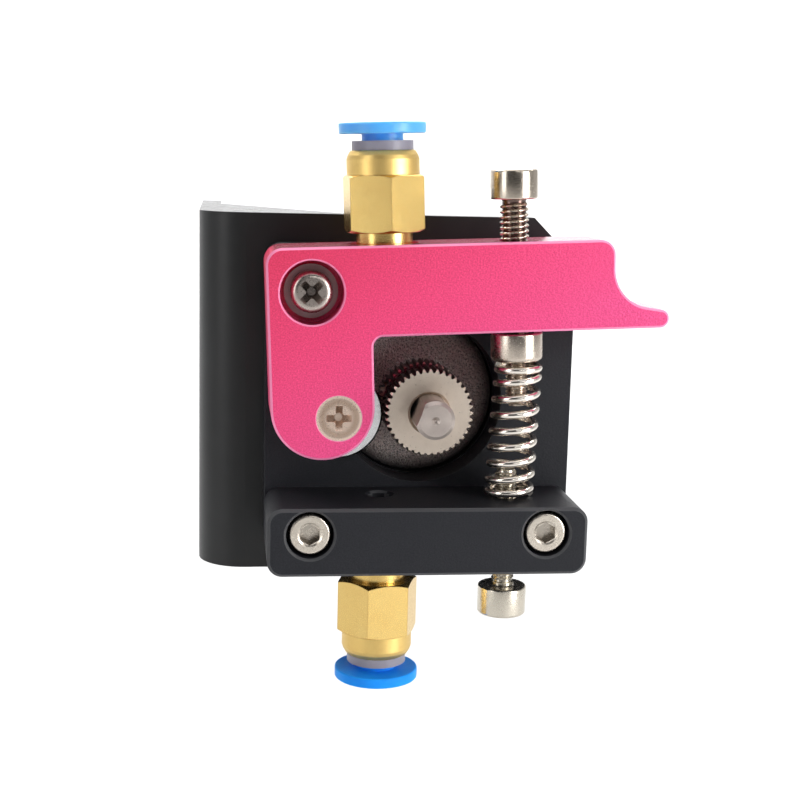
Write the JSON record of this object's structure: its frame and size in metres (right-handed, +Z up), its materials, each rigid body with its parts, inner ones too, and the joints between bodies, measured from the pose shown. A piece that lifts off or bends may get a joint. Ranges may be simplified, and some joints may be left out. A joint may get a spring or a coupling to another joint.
{
  "type": "bowden filament extruder gear assembly",
  "caption": "Single-gear filament feeder: stepper motor on an angled foot bracket, black base block, pink sprung idler arm with bearing, toothed drive gear and push-in tube fittings.",
  "frame": {"origin": "centre of the four foot slots, on the outer face of the bracket's foot", "axes": "+X from the foot across the front of the assembly, +Y from the drive gear back along the motor shaft, +Z up along the filament path"},
  "size_m": [0.0613, 0.0708, 0.0748],
  "materials": {
    "black_anodised": "bead-blasted, black anodised",
    "black_coat": "satin black powder coat",
    "pink_anodised": "bead-blasted, pink anodised",
    "nickel": "bright nickel plate",
    "gear_steel": "machined stainless steel",
    "bearing_steel": "ground bearing steel",
    "washer_steel": "dark oxide",
    "bush_bronze": "sintered bronze",
    "brass": "turned brass",
    "blue_plastic": "translucent blue, glossy",
    "grey_plastic": "grey, slightly glossy",
    "seal_rubber": "black nitrile",
    "spring_steel": "nickel plated wire",
    "motor_cast": "dark cast aluminium",
    "stator_steel": "black varnished laminations",
    "copper": "enamelled copper wire",
    "white_plastic": "off-white nylon",
    "pin_metal": "tinned contact pins"
  },
  "bodies": {
    "frame": {"base_block": "black_anodised", "mount_bracket": "black_coat", "base_screws": "nickel", "hidden_base_screw": "nickel", "pivot_screw": "nickel", "pivot_washer": "washer_steel", "pivot_bush": "bush_bronze", "pivot_shim": "white_plastic", "motor_front_cap": "motor_cast", "motor_stator": "stator_steel", "motor_windings": "copper", "motor_rear_cap": "motor_cast", "motor_connector": "white_plastic", "motor_connector_pins": "pin_metal", "motor_case_screws": "nickel", "motor_bearing_outers": "bearing_steel", "motor_bearing_balls": "bearing_steel", "guide_screw": "nickel", "compression_spring": "spring_steel", "lower_fitting_body": "brass", "lower_fitting_seal": "seal_rubber", "lower_fitting_claw": "spring_steel", "lower_fitting_ring": "grey_plastic"},
    "rotor": {"motor_bearing_inners": "bearing_steel", "motor_rotor": "gear_steel", "motor_shaft": "gear_steel", "drive_gear": "gear_steel", "gear_set_screw": "washer_steel"},
    "arm": {"idler_arm": "pink_anodised", "bearing_screw": "nickel", "bearing_sleeve": "bush_bronze", "bearing_nut": "nickel", "bearing_inner": "bearing_steel", "upper_fitting_body": "brass", "upper_fitting_seal": "seal_rubber", "upper_fitting_claw": "spring_steel", "upper_fitting_ring": "grey_plastic"},
    "idler_bearing": {"bearing_outer": "bearing_steel", "bearing_balls": "bearing_steel", "bearing_shields": "bearing_steel"},
    "spring_seat_body": {"spring_seat": "nickel"},
    "tension_screw_body": {"tension_screw": "nickel"},
    "upper_collet_body": {"upper_collet": "blue_plastic"},
    "lower_collet_body": {"lower_collet": "blue_plastic"}
  },
  "joints": [
    {"name": "shaft_spin", "type": "hinge", "parent": "frame", "child": "rotor", "pos_m": [0.03, -0.035, 0], "axis": [0, 1, 0], "continuous": true},
    {"name": "arm_pivot", "type": "hinge", "parent": "frame", "child": "arm", "pos_m": [0.0145, -0.04, 0.0155], "axis": [0, 1, 0], "range_deg": [0, 8], "stiffness_Nm_per_rad": 2.3, "springref_deg": -11.46, "deforming": ["compression_spring"]},
    {"name": "bearing_spin", "type": "hinge", "parent": "arm", "child": "idler_bearing", "pos_m": [0.01818, -0.0397, -0.00066], "axis": [0, 1, 0], "continuous": true},
    {"name": "tension_feed", "type": "slide", "parent": "arm", "child": "spring_seat_body", "axis": [0.0419, 0, -0.9991], "range_m": [0, 0.002], "deforming": ["compression_spring"]},
    {"name": "tension_turn", "type": "hinge", "parent": "spring_seat_body", "child": "tension_screw_body", "pos_m": [0.04104, -0.0412, 0.02237], "axis": [0.0419, 0, -0.9991], "range_deg": [0, 1030]},
    {"name": "upper_collet_press", "type": "slide", "parent": "arm", "child": "upper_collet_body", "axis": [0.0419, 0, -0.9991], "range_m": [0, 0.0008], "stiffness_N_per_m": 800, "springref_m": -0.0003},
    {"name": "lower_collet_press", "type": "slide", "parent": "frame", "child": "lower_collet_body", "axis": [0, 0, 1], "range_m": [0, 0.0008], "stiffness_N_per_m": 800, "springref_m": -0.0003}
  ],
  "couplings": [
    {"joint": "tension_turn", "follows": "tension_feed", "rad_per_m": 8976}
  ]
}
